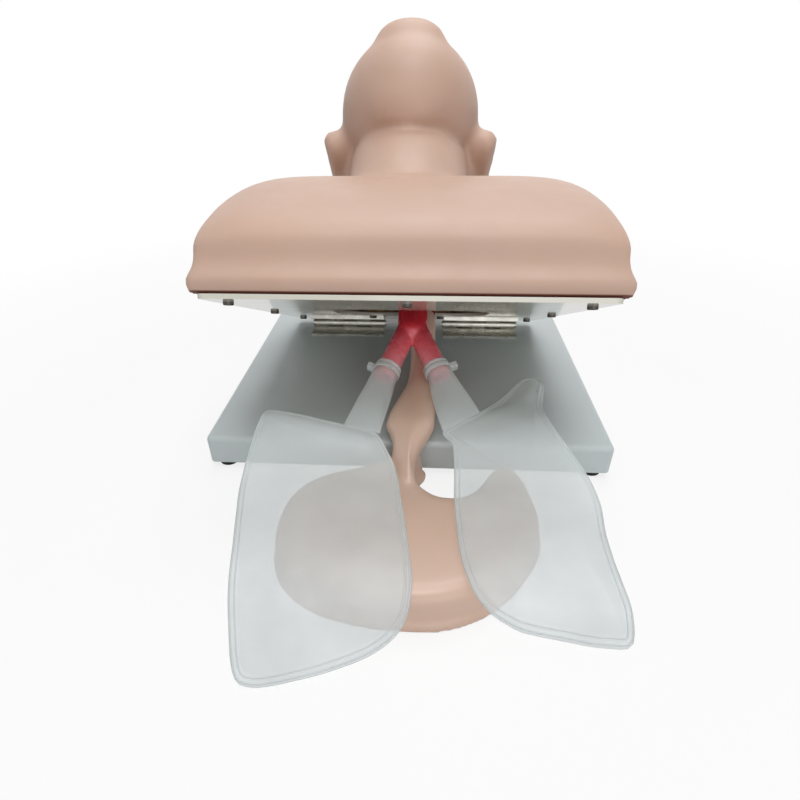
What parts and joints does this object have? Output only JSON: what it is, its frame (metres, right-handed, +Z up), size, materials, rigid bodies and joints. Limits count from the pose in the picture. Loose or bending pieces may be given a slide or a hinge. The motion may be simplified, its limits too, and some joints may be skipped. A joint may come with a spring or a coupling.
{
  "type": "intubation training manikin",
  "caption": "Hollow head-and-shoulders bust on a plate hinged over a folded tray, tipped open, with an airway, soft lungs and a stomach hanging out below.",
  "frame": {"origin": "on the table, under the middle of the bounding box", "axes": "+Z up, +Y from the chest end towards the head, +X to the right seen from the chest end; the hinge line runs along X"},
  "size_m": [0.36, 0.6131, 0.3417],
  "materials": {
    "tray_paint": "satin light grey paint",
    "foot_rubber": "matt",
    "zinc_screw": "bright zinc",
    "dark_screw": "dark oxide",
    "hinge_nickel": "nickel with a brassy cast",
    "crimson_silicone": "glossy, slightly translucent",
    "stomach_vinyl": "soft gloss",
    "lung_film": "milky clear film",
    "tie_nylon": "natural nylon",
    "plate_white": "high gloss",
    "batten_wood": "plain",
    "saddle_wood": "plain",
    "skin_vinyl": "soft satin",
    "skull_plastic": "matt",
    "mouth_pink": "satin",
    "tooth_white": "gloss",
    "airway_red": "satin"
  },
  "bodies": {
    "base": {"base_tray": "tray_paint", "rubber_feet": "foot_rubber", "foot_screws": "zinc_screw", "foot_nuts": "zinc_screw", "hinge_base_screws": "zinc_screw", "hinge_base_nuts": "zinc_screw", "bronchi": "crimson_silicone", "stomach": "stomach_vinyl", "lung_left": "lung_film", "cable_tie_left": "tie_nylon", "lung_right": "lung_film", "cable_tie_right": "tie_nylon", "hinge_base_leaf_left": "hinge_nickel", "hinge_pin_left": "hinge_nickel", "hinge_base_leaf_right": "hinge_nickel", "hinge_pin_right": "hinge_nickel"},
    "bust": {"bust_plate": "plate_white", "bust_screws": "dark_screw", "rim_battens": "batten_wood", "hinge_plate_screws": "zinc_screw", "hinge_plate_nuts": "zinc_screw", "bust_skin": "skin_vinyl", "skull": "skull_plastic", "head_saddle": "saddle_wood", "saddle_screws": "dark_screw", "palate": "mouth_pink", "upper_teeth": "tooth_white", "lower_teeth": "tooth_white", "lower_jaw": "skull_plastic", "tongue": "mouth_pink", "larynx": "airway_red", "windpipe": "airway_red", "gullet": "airway_red", "hinge_plate_leaf_left": "hinge_nickel", "hinge_plate_leaf_right": "hinge_nickel"}
  },
  "joints": [
    {"name": "bust_plate_hinge", "type": "hinge", "parent": "base", "child": "bust", "pos_m": [0, 0.1565, 0.0396], "axis": [1, 0, 0], "range_deg": [0, 24.5], "deforming": ["lung_left", "lung_right", "stomach", "bronchi", "cable_tie_left", "cable_tie_right"]}
  ]
}
